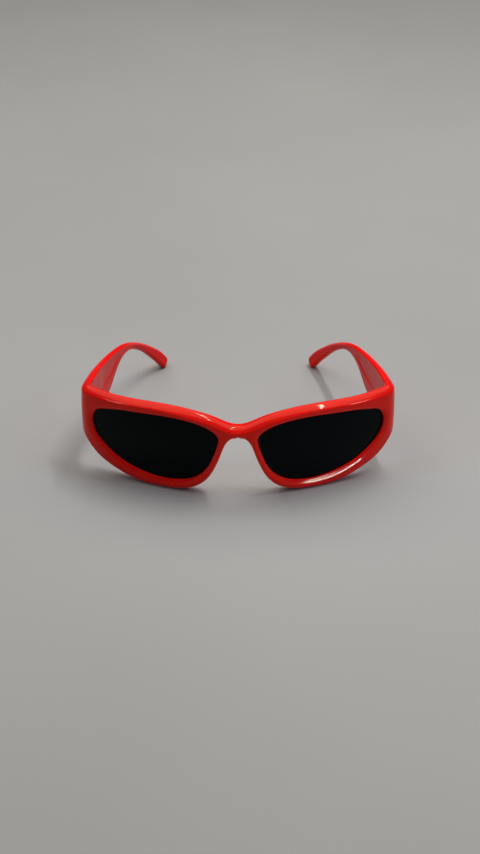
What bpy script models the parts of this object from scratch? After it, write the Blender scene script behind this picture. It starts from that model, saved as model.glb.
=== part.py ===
"""Wraparound sport sunglasses: moulded front, two lenses, two folding temples, metal hinges.

Metres, +Z up.  The front faces -Y and the temples run back along +Y.  Left and right are
the wearer's, so left is +X.  The origin is at the bottom centre of the open sunglasses.

The front and the temples are drawn on one wrapped sheet.  A place on it is (along, height,
depth) in millimetres: along runs round the plan curve from the nose bridge to a temple tip,
height is above the ground, and depth goes in from the outer face towards the wearer.
"""

import bpy
import bmesh
import numpy as np
from math import cos, pi, radians, sin
from mathutils import Matrix, Vector

MM = 0.001

# --- driving dimensions, mm ------------------------------------------------------------
WRAP_RADIUS = 120.0        # plan radius of the front
CORNER_START = 73.2        # along: where the front starts to turn back
CORNER_LENGTH = 14.0
REAR_HEADING = 101.5       # degrees from +X where the corner ends
REAR_TURN = 0.16           # degrees of inward turn per mm of temple
CROWN_HEIGHT = 24.0        # height where the outer face stands furthest out
UPPER_CROWN = 220.0        # radius of its vertical curve above that height
LOWER_CROWN = 110.0        # and below it
HALF_LENGTH = 60.38        # half the open length, front face to temple tips

GAP = 0.3                  # clearance between pieces that touch
SEAM = 87.0                # along: joint between the front and a temple
BACK_ROUND = 1.0           # edge radius on the wearer's side
DISH = np.array((2.2, 1.2, 1.5))       # dip of the front face towards the lens opening
LOW_DISH = np.array((2.8, 1.6, 1.1))   # and along the bottom: width, depth, shoulder
BACK_LIP = 0.3             # edge chamfer of the lens opening's back
LIP = 1.9                  # sheet to the lens groove
LENS_THICKNESS = 1.6
GROOVE_DEPTH = 1.2
TOP_SHOULDER = 1.5         # roundover exponents: 1 is a flat chamfer, 2 is an ellipse
LOW_SHOULDER = 2.0
FRONT_SHARES = (0.0, 0.07, 0.25, 0.55, 1.0)    # mesh points across a front roundover
BACK_SHARES = (0.0, 0.3, 1.0)                  # and across a back one, from the edge inwards
SHARP_ANGLE = 40.0         # degrees between faces that are shaded as an edge

# One row for each place round the left rim, starting under the bridge and going down the
# nose side, out along the bottom and back in along the brow:
# lens opening (along, height), outer edge (along, height), front-to-back thickness,
# width of the front roundover and depth of the front roundover.
RIM = (
    (9.1, 30.8, 0.0, 32.8, 6.4, 2.3, 2.0),
    (9.4, 29.1, 3.7, 31.6, 6.8, 2.0, 1.9),
    (10.1, 26.4, 6.5, 27.4, 7.6, 1.7, 1.7),
    (11.7, 21.6, 8.5, 21.6, 8.0, 1.5, 1.6),
    (14.0, 16.2, 10.8, 15.6, 7.6, 1.5, 1.6),
    (17.6, 11.4, 14.6, 8.5, 6.6, 1.7, 1.7),
    (22.3, 8.0, 20.0, 3.5, 5.8, 1.8, 1.8),
    (28.0, 6.2, 27.0, 0.9, 5.4, 1.8, 1.8),
    (35.0, 5.6, 35.5, 0.0, 5.2, 1.8, 1.8),
    (43.0, 6.3, 46.0, 0.0, 5.1, 1.8, 1.8),
    (51.0, 8.2, 55.5, 2.0, 5.0, 1.8, 1.8),
    (59.0, 11.5, 64.5, 5.4, 4.9, 1.9, 1.9),
    (66.2, 16.4, 72.4, 10.1, 4.8, 2.0, 2.0),
    (71.4, 21.8, 78.0, 16.0, 4.7, 2.0, 2.0),
    (73.4, 26.8, SEAM, 21.5, 4.7, 2.0, 2.0),
    (73.0, 31.6, SEAM, 33.1, 4.7, 2.0, 2.0),
    (70.4, 35.4, SEAM, 44.4, 4.7, 2.4, 3.2),
    (65.0, 37.5, 74.0, 44.6, 4.6, 2.6, 3.2),
    (57.0, 39.3, 61.5, 44.8, 4.6, 2.3, 3.3),
    (48.0, 40.3, 49.5, 45.4, 4.8, 1.8, 3.5),
    (39.0, 41.0, 38.5, 45.7, 5.1, 1.8, 3.7),
    (30.0, 40.9, 28.0, 45.1, 5.4, 2.0, 3.8),
    (22.0, 39.8, 18.5, 43.5, 5.6, 2.3, 3.6),
    (15.0, 37.5, 10.5, 41.0, 5.9, 2.4, 3.4),
    (10.9, 34.8, 4.5, 38.4, 6.2, 2.4, 3.2),
    (9.4, 32.8, 0.0, 37.5, 6.4, 2.4, 3.2),
)
SEAM_BOTTOM = 14           # row numbers of the corners of the outer edge
SEAM_TOP = 16
BRIDGE_TOP = 25
RIM_STEPS = 2              # mesh stations from one row to the next
CORNER_STEPS = (0.05, 0.13, 0.3, 1.0, 1.7, 1.87, 1.95)     # stations down the seam
NOSE_STEPS = (0.03, 0.1, 0.25, 0.45, 0.7, 0.88, 0.97)      # and down the middle of the bridge
FLAT_SHARES = (0.25, 0.5, 0.75)                # mesh points between dish and roundover
DISH_SHARES = (0.0, 0.3, 1.0)                  # and across the dish, from the opening outwards
LENS_SHARES = (0.35, 0.7, 1.0)                 # rings of a lens, from its middle

# A temple, as (distance behind the seam, height of its middle, blade height, thickness).
TEMPLE = (
    (0.0, 32.95, 22.9, 4.7),
    (10.0, 32.5, 22.6, 4.5),
    (19.0, 31.7, 21.6, 4.4),
    (26.0, 31.4, 19.6, 4.3),
    (32.0, 32.0, 15.9, 4.2),
    (37.0, 32.85, 11.9, 4.1),
    (43.0, 33.2, 8.2, 4.0),
    (50.0, 32.4, 5.4, 3.9),
    (58.2, 29.7, 3.8, 3.9),
    (66.3, 25.2, 3.8, 3.9),
    (74.4, 19.5, 4.5, 4.0),
    (81.4, 13.3, 5.6, 4.2),
    (87.0, 7.8, 6.4, 4.3),
    (90.6, 3.3, 6.5, 4.3),
)
TEMPLE_STEPS = 2
TIP_TURNS = (25.0, 48.0, 66.0, 78.0)           # degrees round the rounded tip
TOP_ROUND = (2.4, 3.2)     # width and depth of the roundover along the temple's top
LOW_ROUND = (2.0, 2.0)
ARM_START = 32.0           # behind the seam: where the upright blade starts to become the arm
ARM_FADE = 22.0
ARM_ROUND = 1.6            # edge radius on the arm's inner side
ROUND_FADE = 40.0          # length over which the edges get that round
PANEL_LOW_BORDER = 8.0      # shallow panel in the temple's inner face
PANEL_TOP_BORDER = 1.8
PANEL_SLOPE = 1.6
PANEL_DEPTH = 0.4
PANEL_START = 11.0
PANEL_END = 44.0
PANEL_FADE = 9.0

HINGE_HEIGHT = 28.5        # height of the hinge's middle
HINGE_INSET = 1.5          # hinge axis to the inner face
KNUCKLE_RADIUS = 1.6
BORE_RADIUS = 1.0
LEAF_HEIGHT = 8.4
LEAF_THICKNESS = 1.0
LEAF_PROUD = 0.3           # leaf face above the plastic's inner face
MIDDLE_KNUCKLE = 1.3       # half its height
FRAME_LEAF = 5.8           # leaf lengths from the seam
TEMPLE_LEAF = 8.8
LEAF_END = 1.9             # seam to the full-height part of a leaf
TAB_OVERLAP = 0.4          # of a knuckle's tab with the plate
TAB_EASE = 0.05            # the tab is this much thinner than the plate all round
POCKET_CLEARANCE = 0.4
POCKET_START = 1.0         # how far the pocket cutter starts before the seam
POCKET_REACH = 9.0         # and how far it stands into the open
HEAD_ROOM = 2.0            # half width of the notch for the hinge screw's head
SCREW_SIDES = 16
HINGE_SHANK = 0.7
HINGE_HEAD = (1.4, 0.8)    # radius and height
LEAF_SHANK = 0.5
LEAF_HOLE = 0.8
LEAF_HEAD = (1.1, 0.5)
LEAF_SCREW_DEPTH = 2.3     # shank end below the inner face
FRAME_SCREWS = ((-3.9, 2.4), (-3.9, -2.4))     # along the leaf, above the hinge's middle
TEMPLE_SCREWS = ((4.2, 0.0), (7.0, 0.0))

BADGE_CENTRE = (98.0, 30.0)
BADGE_SIZE = (5.0, 1.9)    # half length and half height
BADGE_THICKNESS = 0.5
BADGE_RINGS = ((1.0, 0.0), (1.0, 0.6), (0.88, 1.0))    # scale and share of the thickness
BADGE_SIDES = 28

RED = (0.80, 0.012, 0.012, 1.0)
SMOKE = (0.006, 0.008, 0.009, 1.0)
STEEL = (0.55, 0.55, 0.56, 1.0)
DARK = (0.02, 0.02, 0.022, 1.0)


# --- the wrapped sheet -----------------------------------------------------------------
def smooth_step(x):
    x = np.clip(x, 0.0, 1.0)
    return x * x * (3.0 - 2.0 * x)


def plan_heading(along):
    """Direction of the plan curve, in radians from +X."""
    wrap = along / WRAP_RADIUS
    rear = np.radians(REAR_HEADING + REAR_TURN * (along - CORNER_START - CORNER_LENGTH))
    turned = smooth_step((along - CORNER_START) / CORNER_LENGTH)
    return wrap * (1.0 - turned) + rear * turned


PLAN_STEP = 0.05
PLAN_ALONG = np.arange(0.0, 200.0, PLAN_STEP)
PLAN_MIDDLE = plan_heading(PLAN_ALONG[:-1] + PLAN_STEP / 2)
PLAN_X = np.concatenate([[0.0], np.cumsum(np.cos(PLAN_MIDDLE)) * PLAN_STEP])
PLAN_Y = np.concatenate([[0.0], np.cumsum(np.sin(PLAN_MIDDLE)) * PLAN_STEP])


def on_sheet(along, height, depth):
    """World place, in metres, of a point of the left half's sheet."""
    crown = UPPER_CROWN if height > CROWN_HEIGHT else LOWER_CROWN
    inward = depth + (height - CROWN_HEIGHT) ** 2 / (2.0 * crown)
    heading = plan_heading(along)
    x = np.interp(along, PLAN_ALONG, PLAN_X) - inward * sin(heading)
    y = np.interp(along, PLAN_ALONG, PLAN_Y) + inward * cos(heading) - HALF_LENGTH
    return Vector((x * MM, y * MM, height * MM))


def spline(rows, closed=False):
    """Smooth cubic curve through the rows, spaced by their first two columns.

    Returns a function of the row number, which may be fractional."""
    rows = np.array(rows, float)
    if closed:
        rows = np.vstack([rows, rows[:1]])
    span = np.linalg.norm(np.diff(rows[:, :2], axis=0), axis=1)
    slope = np.diff(rows, axis=0) / span[:, None]
    last = len(rows) - 1
    system = np.eye(last + 1)
    wanted = np.zeros_like(rows)
    for i in range(1, last):
        system[i, i - 1:i + 2] = span[i - 1], 2.0 * (span[i - 1] + span[i]), span[i]
        wanted[i] = 6.0 * (slope[i] - slope[i - 1])
    if closed:
        system[0, last] = -1.0
        system[last, :2] = 2.0 * span[0], span[0]
        system[last, last - 1:] = span[-1], 2.0 * span[-1]
        wanted[last] = 6.0 * (slope[0] - slope[-1])
    bend = np.linalg.solve(system, wanted)

    def at(number):
        i = min(max(int(number), 0), last - 1)
        t = (number - i) * span[i]
        rest = span[i] - t
        curve = (bend[i] * rest ** 3 + bend[i + 1] * t ** 3) / (6.0 * span[i])
        start = rows[i] / span[i] - bend[i] * span[i] / 6.0
        end = rows[i + 1] / span[i] - bend[i + 1] * span[i] / 6.0
        return curve + start * rest + end * t

    return at


def roundover(distance, width, depth, shoulder=2.0):
    """Depth of a rounded edge, at a distance in from it."""
    rest = 1.0 - min(distance / width, 1.0)
    return depth * (1.0 - (1.0 - rest ** shoulder) ** (1.0 / shoulder))


# --- meshes and objects ----------------------------------------------------------------
def material(name, colour, roughness, metallic=0.0, coat=0.0):
    made = bpy.data.materials.new(name)
    made.use_nodes = True
    shader = made.node_tree.nodes["Principled BSDF"]
    shader.inputs["Base Color"].default_value = colour
    shader.inputs["Roughness"].default_value = roughness
    shader.inputs["Metallic"].default_value = metallic
    shader.inputs["Coat Weight"].default_value = coat
    made.diffuse_color = colour
    return made


def add_object(name, bm, finish, origin=None):
    """Make an object of the bmesh, with its origin on a parent empty where one is given."""
    bmesh.ops.recalc_face_normals(bm, faces=bm.faces)
    if origin is not None:
        bmesh.ops.translate(bm, verts=bm.verts, vec=-origin.location)
    mesh = bpy.data.meshes.new(name)
    bm.to_mesh(mesh)
    bm.free()
    mesh.shade_smooth()
    mesh.set_sharp_from_angle(angle=radians(SHARP_ANGLE))
    if finish is not None:
        mesh.materials.append(finish)
    obj = bpy.data.objects.new(name, mesh)
    obj.parent = origin
    bpy.context.collection.objects.link(obj)
    return obj


def make_cutter(name, bm):
    cutter = add_object(name, bm, None)
    cutter.hide_render = True
    cutter.display_type = "WIRE"
    return cutter


def cut(obj, cutter):
    step = obj.modifiers.new("cut_" + cutter.name, "BOOLEAN")
    step.operation = "DIFFERENCE"
    step.solver = "EXACT"
    step.object = cutter


def mirror_bmesh(bm):
    """The same shape on the other side of the plane x = 0."""
    bmesh.ops.scale(bm, verts=bm.verts, vec=(-1.0, 1.0, 1.0))
    bmesh.ops.reverse_faces(bm, faces=bm.faces)


def skin(bm, rings, close_rings, close_sections, skip=None):
    """Quads between neighbouring sections, each a list of vertices of the same length."""
    count = len(rings)
    points = len(rings[0])
    for i in range(count if close_rings else count - 1):
        after = (i + 1) % count
        for j in range(points if close_sections else points - 1):
            if skip is not None and skip(i, j):
                continue
            k = (j + 1) % points
            bm.faces.new((rings[i][j], rings[i][k], rings[after][k], rings[after][j]))


def fan(bm, ring, place):
    """Close a ring with triangles that meet at a place."""
    middle = bm.verts.new(place)
    for i, vertex in enumerate(ring):
        bm.faces.new((vertex, ring[(i + 1) % len(ring)], middle))


# --- the front -------------------------------------------------------------------------
HOLE = spline([row[:2] for row in RIM], closed=True)
OUTER_ROWS = [row[2:] for row in RIM]


def across_nose(row):
    return (-row[0],) + tuple(row[1:])


LOWER_EDGE = spline([across_nose(OUTER_ROWS[1])] + OUTER_ROWS[:SEAM_BOTTOM + 1])
UPPER_EDGE = spline(OUTER_ROWS[SEAM_TOP:] + [across_nose(OUTER_ROWS[BRIDGE_TOP - 1])])


def outer_edge(number):
    """(along, height, thickness, roundover width and depth) of the outer edge."""
    if number <= SEAM_BOTTOM:
        edge = LOWER_EDGE(number + 1.0)
        edge[1] = max(edge[1], 0.0)
        return edge
    if number < SEAM_TOP:
        share = (number - SEAM_BOTTOM) / (SEAM_TOP - SEAM_BOTTOM)
        return (1.0 - share) * LOWER_EDGE(SEAM_BOTTOM + 1.0) + share * UPPER_EDGE(0.0)
    if number <= BRIDGE_TOP:
        return UPPER_EDGE(number - SEAM_TOP)
    share = number - BRIDGE_TOP
    return (1.0 - share) * UPPER_EDGE(BRIDGE_TOP - SEAM_TOP) + share * LOWER_EDGE(1.0)


def edge_table(first, last):
    """Closely spaced rows of the outer edge."""
    samples = 8
    return np.array([outer_edge(i / samples) for i in range(first * samples, last * samples + 1)])


def nearest_edge(table, along, height):
    """Distance to an edge, with the width and depth of its roundover there."""
    start = table[:-1]
    step = table[1:] - start
    offset = np.array((along, height)) - start[:, :2]
    length2 = (step[:, :2] ** 2).sum(axis=1)
    t = np.clip((offset * step[:, :2]).sum(axis=1) / length2, 0.0, 1.0)
    miss = np.linalg.norm(offset - t[:, None] * step[:, :2], axis=1)
    i = int(miss.argmin())
    place = start[i] + t[i] * step[i]
    return float(miss[i]), place[3], place[4]


def front_depth(edges, along, height):
    """How far the front face lies behind the sheet at its rounded edges."""
    lower, upper = edges
    return (roundover(*nearest_edge(lower, along, height), LOW_SHOULDER)
            + roundover(*nearest_edge(upper, along, height), TOP_SHOULDER))


def back_rise(edges, along, height):
    """How far the back face is rounded forwards at the same edges."""
    distance = min(nearest_edge(table, along, height)[0] for table in edges)
    return roundover(distance, BACK_ROUND, BACK_ROUND)


def rim_numbers():
    """Row numbers of the mesh stations, closer together at the corners of the outer edge."""
    numbers = [i / RIM_STEPS for i in range(SEAM_BOTTOM * RIM_STEPS + 1)]
    numbers += [SEAM_BOTTOM + step for step in CORNER_STEPS]
    numbers += [i / RIM_STEPS for i in range(SEAM_TOP * RIM_STEPS, BRIDGE_TOP * RIM_STEPS + 1)]
    numbers += [BRIDGE_TOP + step for step in NOSE_STEPS]
    return numbers


def hole_place(number, outward):
    """A place at a distance outside the lens opening's edge."""
    step = 0.01
    ahead = HOLE((number + step) % len(RIM))
    behind = HOLE((number - step) % len(RIM))
    run = (ahead - behind) / np.linalg.norm(ahead - behind)
    return HOLE(number % len(RIM)) + outward * np.array((run[1], -run[0]))


def dish_size(number):
    """Width, depth and shoulder of the dip round the lens opening."""
    low = smooth_step((number - 4.0) / 3.0) * smooth_step((14.0 - number) / 3.0)
    return DISH + low * (LOW_DISH - DISH)


def rim_section(number, edges):
    """Closed section of the rim: front face outwards, back face inwards, lens groove."""
    row = outer_edge(number)
    edge, thickness = row[:2], row[2]
    hole = HOLE(number % len(RIM))
    width = np.linalg.norm(edge - hole)
    away = (edge - hole) / width
    dish, dish_depth, shoulder = dish_size(number)
    dish = min(dish, 0.6 * width)
    round_width = min(row[3], 0.5 * width)
    back_width = min(BACK_ROUND, 0.4 * width)
    section = []

    def add(place, depth):
        section.append((place[0], place[1], depth))

    for share in DISH_SHARES:
        place = hole + share * dish * away
        add(place, front_depth(edges, *place) + roundover(share, 1.0, dish_depth, shoulder))
    for share in FLAT_SHARES:
        place = hole + (dish + share * (width - dish - round_width)) * away
        add(place, front_depth(edges, *place))
    for share in reversed(FRONT_SHARES):
        place = edge - share * round_width * away
        add(place, front_depth(edges, *place))
    for share in BACK_SHARES:
        place = edge - share * back_width * away
        add(place, thickness - back_rise(edges, *place))
    for share in reversed(FLAT_SHARES):
        place = hole + (BACK_LIP + share * (width - BACK_LIP - back_width)) * away
        add(place, thickness - back_rise(edges, *place))
    add(hole + BACK_LIP * away, thickness)
    add(hole, thickness - BACK_LIP)
    groove_back = LIP + LENS_THICKNESS + 2.0 * GAP
    add(hole_place(number, 0.0), groove_back)
    add(hole_place(number, GROOVE_DEPTH), groove_back)
    add(hole_place(number, GROOVE_DEPTH), LIP)
    add(hole_place(number, 0.0), LIP)
    return section


# section point where the front face meets the outer wall
FRONT_EDGE_POINT = len(DISH_SHARES) + len(FLAT_SHARES) + len(FRONT_SHARES) - 1


def front_bmesh():
    """The left half of the front, mirrored and joined at the nose."""
    bm = bmesh.new()
    edges = (edge_table(0, SEAM_BOTTOM), edge_table(SEAM_TOP, BRIDGE_TOP))
    numbers = rim_numbers()
    rings = []
    for number in numbers:
        section = rim_section(number, edges)
        rings.append([bm.verts.new(on_sheet(*place)) for place in section])
    first_on_nose = numbers.index(BRIDGE_TOP)
    skin(bm, rings, True, True,
         skip=lambda i, j: i >= first_on_nose and j == FRONT_EDGE_POINT)
    half = bm.verts[:] + bm.edges[:] + bm.faces[:]
    copy = bmesh.ops.duplicate(bm, geom=half)["geom"]
    mirrored = [item for item in copy if isinstance(item, bmesh.types.BMVert)]
    bmesh.ops.scale(bm, verts=mirrored, vec=(-1.0, 1.0, 1.0))
    bmesh.ops.remove_doubles(bm, verts=bm.verts, dist=0.01 * MM)
    return bm


def lens_bmesh():
    """A curved lens whose edge sits in the rim's groove."""
    bm = bmesh.new()
    numbers = [i / RIM_STEPS for i in range(len(RIM) * RIM_STEPS)]
    outline = [hole_place(number, GROOVE_DEPTH - GAP) for number in numbers]
    centre = np.mean(outline, axis=0)
    front = LIP + GAP
    back = front + LENS_THICKNESS
    rings = []
    for depth, shares in ((front, LENS_SHARES), (back, LENS_SHARES[::-1])):
        for share in shares:
            places = [centre + share * (point - centre) for point in outline]
            rings.append([bm.verts.new(on_sheet(p[0], p[1], depth)) for p in places])
    skin(bm, rings, False, True)
    fan(bm, rings[0], on_sheet(*centre, front))
    fan(bm, rings[-1], on_sheet(*centre, back))
    return bm


# --- the temples -----------------------------------------------------------------------
BLADE = spline([(row[0], row[1]) for row in TEMPLE])
BLADE_SIZE = spline([(row[0], 0.0, row[2], row[3]) for row in TEMPLE])


def blade_section(number, shrink=1.0, advance=0.0):
    """Closed section across a temple: outer face downwards, inner face upwards."""
    behind, height = BLADE(number)
    ahead = BLADE(number + 0.01) - BLADE(number - 0.01)
    arm = smooth_step((behind - ARM_START) / ARM_FADE)
    run = arm * ahead / np.linalg.norm(ahead) + (1.0 - arm) * np.array((1.0, 0.0))
    run /= np.linalg.norm(run)
    softer = smooth_step(behind / ROUND_FADE)
    size = BLADE_SIZE(number)
    half = 0.5 * size[2] * shrink
    thickness = size[3]
    thinner = 0.5 * thickness * (1.0 - shrink)
    top_width = min(TOP_ROUND[0], 0.9 * half)
    low_width = min(LOW_ROUND[0], 0.9 * half)
    top_depth = min(TOP_ROUND[1], (0.7 - 0.2 * softer) * thickness) * shrink
    low_depth = min(LOW_ROUND[1], 0.5 * thickness) * shrink
    back_round = BACK_ROUND + softer * (ARM_ROUND - BACK_ROUND)
    back_width = min(back_round, 0.85 * half)
    panel = PANEL_DEPTH * smooth_step((behind - PANEL_START) / PANEL_FADE)
    panel *= smooth_step((PANEL_END - behind) / PANEL_FADE)
    centre = np.array((behind, height)) + advance * run
    up = np.array((-run[1], run[0]))
    section = []

    def add(place, depth):
        along, level = centre + place * up
        section.append((SEAM + GAP + along, level, depth))

    for share in FRONT_SHARES:
        add(half - share * top_width, thinner + roundover(share, 1.0, top_depth, TOP_SHOULDER))
    for share in reversed(FRONT_SHARES):
        add(share * low_width - half, thinner + roundover(share, 1.0, low_depth, LOW_SHOULDER))
    inner = thickness - thinner

    def back_half(border):
        """(distance in from the edge, rise of the inner face) up to the panel."""
        places = [(share * back_width, roundover(share, 1.0, back_round * shrink))
                  for share in BACK_SHARES]
        places.append((min(border, 0.7 * half), 0.0))
        places.append((min(border + PANEL_SLOPE, 0.9 * half), panel))
        return places

    for inset, lift in back_half(PANEL_LOW_BORDER):
        add(inset - half, inner - lift)
    for inset, lift in reversed(back_half(PANEL_TOP_BORDER)):
        add(half - inset, inner - lift)
    return section


def temple_bmesh():
    """A blade that tapers to a thin arm, bends down and ends in a rounded tip."""
    bm = bmesh.new()
    last = len(TEMPLE) - 1
    sections = [blade_section(i / TEMPLE_STEPS) for i in range(last * TEMPLE_STEPS + 1)]
    tip = 0.5 * TEMPLE[-1][2]
    for degrees in TIP_TURNS:
        turn = radians(degrees)
        sections.append(blade_section(last, cos(turn), tip * sin(turn)))
    rings = [[bm.verts.new(on_sheet(*place)) for place in section] for section in sections]
    skin(bm, rings, False, True)
    bm.faces.new(rings[0])
    fan(bm, rings[-1], sum((vertex.co for vertex in rings[-1]), Vector()) / len(rings[-1]))
    return bm


def badge_bmesh():
    """A plain oval plate with a chamfered edge that follows the temple's outer face."""
    bm = bmesh.new()
    rings = []
    for scale, share in BADGE_RINGS:
        ring = []
        for i in range(BADGE_SIDES):
            angle = 2.0 * pi * i / BADGE_SIDES
            along = BADGE_CENTRE[0] + scale * BADGE_SIZE[0] * cos(angle)
            height = BADGE_CENTRE[1] + scale * BADGE_SIZE[1] * sin(angle)
            ring.append(bm.verts.new(on_sheet(along, height, -GAP - share * BADGE_THICKNESS)))
        rings.append(ring)
    skin(bm, rings, False, True)
    for ring, share in ((rings[0], 0.0), (rings[-1], 1.0)):
        fan(bm, ring, on_sheet(*BADGE_CENTRE, -GAP - share * BADGE_THICKNESS))
    return bm


# --- the hinges ------------------------------------------------------------------------
def hinge_frame():
    """Left hinge axes: x goes inwards from the inner face, y goes back, z goes up."""
    heading = plan_heading(SEAM)
    inward = Vector((-sin(heading), cos(heading), 0.0))
    back = Vector((cos(heading), sin(heading), 0.0))
    origin = on_sheet(SEAM + 0.5 * GAP, HINGE_HEIGHT, TEMPLE[0][3])
    frame = Matrix((inward, back, Vector((0.0, 0.0, 1.0)))).transposed().to_4x4()
    frame.translation = origin
    return frame


def box_bmesh(low, high):
    bm = bmesh.new()
    size = Vector(high) - Vector(low)
    middle = (Vector(high) + Vector(low)) / 2.0
    bmesh.ops.create_cube(bm, size=1.0)
    bmesh.ops.scale(bm, verts=bm.verts, vec=size * MM)
    bmesh.ops.translate(bm, verts=bm.verts, vec=middle * MM)
    return bm


def cylinder_bmesh(radius, start, end, axis):
    """A cylinder from start to end, in mm, along the hinge frame's x or z axis."""
    bm = bmesh.new()
    start, end = Vector(start), Vector(end)
    bmesh.ops.create_cone(bm, cap_ends=True, segments=SCREW_SIDES, radius1=radius * MM,
                          radius2=radius * MM, depth=(end - start).length * MM)
    if axis == "x":
        bmesh.ops.rotate(bm, verts=bm.verts, matrix=Matrix.Rotation(pi / 2.0, 3, "Y"))
    bmesh.ops.translate(bm, verts=bm.verts, vec=(start + end) / 2.0 * MM)
    return bm


def join(parts):
    """One bmesh of several."""
    whole = parts[0]
    for part in parts[1:]:
        mesh = bpy.data.meshes.new("part")
        part.to_mesh(mesh)
        part.free()
        whole.from_mesh(mesh)
        bpy.data.meshes.remove(mesh)
    return whole


def in_hinge(bm, side):
    """Put a hinge piece made in the hinge's own axes at its place on one side."""
    bmesh.ops.transform(bm, verts=bm.verts, matrix=hinge_frame())
    if side < 0:
        mirror_bmesh(bm)
    return bm


def leaf_outline(leaf_length, direction, knuckles):
    """Plate and knuckle tabs of a leaf, as solids that a union joins."""
    floor = LEAF_PROUD - LEAF_THICKNESS
    half = LEAF_HEIGHT / 2.0
    ends = sorted((direction * LEAF_END, direction * leaf_length))
    plate = box_bmesh((floor, ends[0], -half), (LEAF_PROUD, ends[1], half))
    pieces = []
    for low, high in knuckles:
        ends = sorted((direction * TAB_EASE, direction * (LEAF_END + TAB_OVERLAP)))
        pieces.append(box_bmesh((floor + TAB_EASE, ends[0], low + TAB_EASE),
                                (LEAF_PROUD - TAB_EASE, ends[1], high - TAB_EASE)))
        pieces.append(cylinder_bmesh(KNUCKLE_RADIUS, (HINGE_INSET, 0.0, low),
                                     (HINGE_INSET, 0.0, high), "z"))
    return plate, pieces


def add_leaf(name, side, origin, finish, leaf_length, direction, knuckles, screws):
    """A hinge leaf: the plate, its knuckles, the bore and the screw holes."""
    plate, pieces = leaf_outline(leaf_length, direction, knuckles)
    leaf = add_object(name, in_hinge(plate, side), finish, origin)
    for number, piece in enumerate(pieces):
        helper = add_object(f"{name}_helper_{number}", in_hinge(piece, side), None)
        helper.hide_render = True
        helper.display_type = "WIRE"
        step = leaf.modifiers.new(helper.name, "BOOLEAN")
        step.operation = "UNION"
        step.solver = "EXACT"
        step.object = helper
    reach = LEAF_HEIGHT
    bores = [cylinder_bmesh(BORE_RADIUS, (HINGE_INSET, 0.0, -reach), (HINGE_INSET, 0.0, reach), "z")]
    for back, up in screws:
        bores.append(cylinder_bmesh(LEAF_HOLE, (-reach, back, up), (reach, back, up), "x"))
    cut(leaf, make_cutter(name + "_bores", in_hinge(join(bores), side)))
    return leaf


def add_pocket(obj, name, side, leaf_length, direction, screws):
    """Recess for a leaf in the plastic, with a blind hole for each screw."""
    floor = LEAF_PROUD - LEAF_THICKNESS - GAP
    half = LEAF_HEIGHT / 2.0 + GAP
    ends = sorted((-direction * POCKET_START, direction * (leaf_length + POCKET_CLEARANCE)))
    recess = box_bmesh((floor, ends[0], -half), (floor + POCKET_REACH, ends[1], half))
    cut(obj, make_cutter(name, in_hinge(recess, side)))
    head = box_bmesh((HINGE_INSET - HEAD_ROOM, -HEAD_ROOM, 0.0),
                     (floor + POCKET_REACH, HEAD_ROOM, half + HINGE_HEAD[1] + GAP))
    cut(obj, make_cutter(name + "_head", in_hinge(head, side)))
    holes = [cylinder_bmesh(LEAF_HOLE, (-LEAF_SCREW_DEPTH - GAP, back, up), (0.0, back, up), "x")
             for back, up in screws]
    cut(obj, make_cutter(name + "_holes", in_hinge(join(holes), side)))


def turned_bmesh(profile, axis_place, axis):
    """A screw: a stack of rings, each (radius, distance along its axis)."""
    bm = bmesh.new()
    rings = []
    for radius, along in profile:
        ring = []
        for i in range(SCREW_SIDES):
            angle = 2.0 * pi * i / SCREW_SIDES
            a, b = radius * cos(angle), radius * sin(angle)
            offset = Vector((along, a, b)) if axis == "x" else Vector((a, b, along))
            ring.append(bm.verts.new((Vector(axis_place) + offset) * MM))
        rings.append(ring)
    skin(bm, rings, False, True)
    bm.faces.new(rings[0])
    bm.faces.new(rings[-1])
    return bm


def hinge_screw_bmesh():
    top = LEAF_HEIGHT / 2.0 + GAP
    radius, height = HINGE_HEAD
    profile = ((HINGE_SHANK, -LEAF_HEIGHT / 2.0), (HINGE_SHANK, top), (radius, top),
               (radius, top + 0.6 * height), (0.8 * radius, top + height))
    return turned_bmesh(profile, (HINGE_INSET, 0.0, 0.0), "z")


def leaf_screw_bmesh(back, up):
    seat = LEAF_PROUD + GAP
    radius, height = LEAF_HEAD
    profile = ((LEAF_SHANK, -LEAF_SCREW_DEPTH), (LEAF_SHANK, seat), (radius, seat),
               (radius, seat + 0.5 * height), (0.7 * radius, seat + height))
    return turned_bmesh(profile, (0.0, back, up), "x")


# --- assembly --------------------------------------------------------------------------
def hinge_origin(name, side):
    """Empty on a hinge's axis, which carries everything that folds with that temple."""
    empty = bpy.data.objects.new(name, None)
    place = hinge_frame() @ Vector((HINGE_INSET * MM, 0.0, 0.0))
    empty.location = (side * place.x, place.y, place.z)
    bpy.context.collection.objects.link(empty)
    return empty


def on_side(bm, side):
    if side < 0:
        mirror_bmesh(bm)
    return bm


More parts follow.
